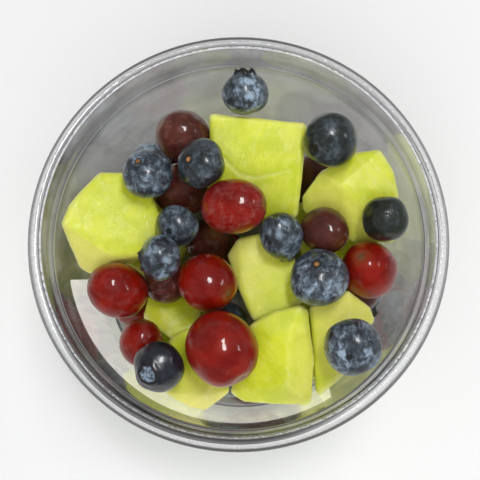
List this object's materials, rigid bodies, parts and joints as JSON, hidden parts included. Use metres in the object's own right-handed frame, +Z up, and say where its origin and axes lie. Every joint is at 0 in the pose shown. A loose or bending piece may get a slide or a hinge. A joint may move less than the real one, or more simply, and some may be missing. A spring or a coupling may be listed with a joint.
{
  "type": "fruit cup",
  "caption": "Clear round plastic cup with a rolled rim and a bare wrapped label, filled with cut yellow melon chunks, red grapes and blueberries. It stands on its foot.",
  "frame": {"origin": "centre of the cup's foot, on the surface that it stands on", "axes": "+Z up through the mouth, +X right and +Y away from the side that the label faces"},
  "size_m": [0.118, 0.118, 0.0736],
  "materials": {
    "clear_plastic": "clear moulded plastic, glossy, wet inside",
    "label_paper": "smooth white paper back, plain coloured fields outside",
    "melon": "cut yellow-green flesh, wet, faintly streaked",
    "red_grape": "tight glossy skin, red with paler mottling",
    "dark_grape": "tight glossy skin, dark maroon",
    "blueberry": "dark blue skin with pale waxy bloom"
  },
  "bodies": {
    "root": {"cup": "clear_plastic", "label": "label_paper", "melon_1": "melon", "melon_2": "melon", "melon_3": "melon", "melon_4": "melon", "melon_5": "melon", "melon_6": "melon", "melon_7": "melon", "melon_8": "melon", "melon_9": "melon", "melon_10": "melon", "melon_11": "melon", "melon_12": "melon", "melon_13": "melon", "grape_1": "dark_grape", "grape_2": "dark_grape", "grape_3": "dark_grape", "grape_4": "red_grape", "grape_5": "red_grape", "grape_6": "red_grape", "grape_7": "red_grape", "grape_8": "red_grape", "grape_9": "dark_grape", "grape_10": "red_grape", "grape_11": "dark_grape", "grape_12": "dark_grape", "grape_13": "dark_grape", "grape_14": "red_grape", "grape_15": "dark_grape", "grape_16": "dark_grape", "grape_17": "red_grape", "grape_18": "dark_grape", "grape_19": "red_grape", "grape_20": "red_grape", "grape_21": "red_grape", "grape_22": "red_grape", "blueberry_1": "blueberry", "blueberry_2": "blueberry", "blueberry_3": "blueberry", "blueberry_4": "blueberry", "blueberry_5": "blueberry", "blueberry_6": "blueberry", "blueberry_7": "blueberry", "blueberry_8": "blueberry", "blueberry_9": "blueberry", "blueberry_10": "blueberry", "blueberry_11": "blueberry", "blueberry_12": "blueberry", "blueberry_13": "blueberry", "blueberry_14": "blueberry", "blueberry_15": "blueberry", "blueberry_16": "blueberry", "blueberry_17": "blueberry", "blueberry_18": "blueberry", "blueberry_19": "blueberry"}
  },
  "joints": []
}
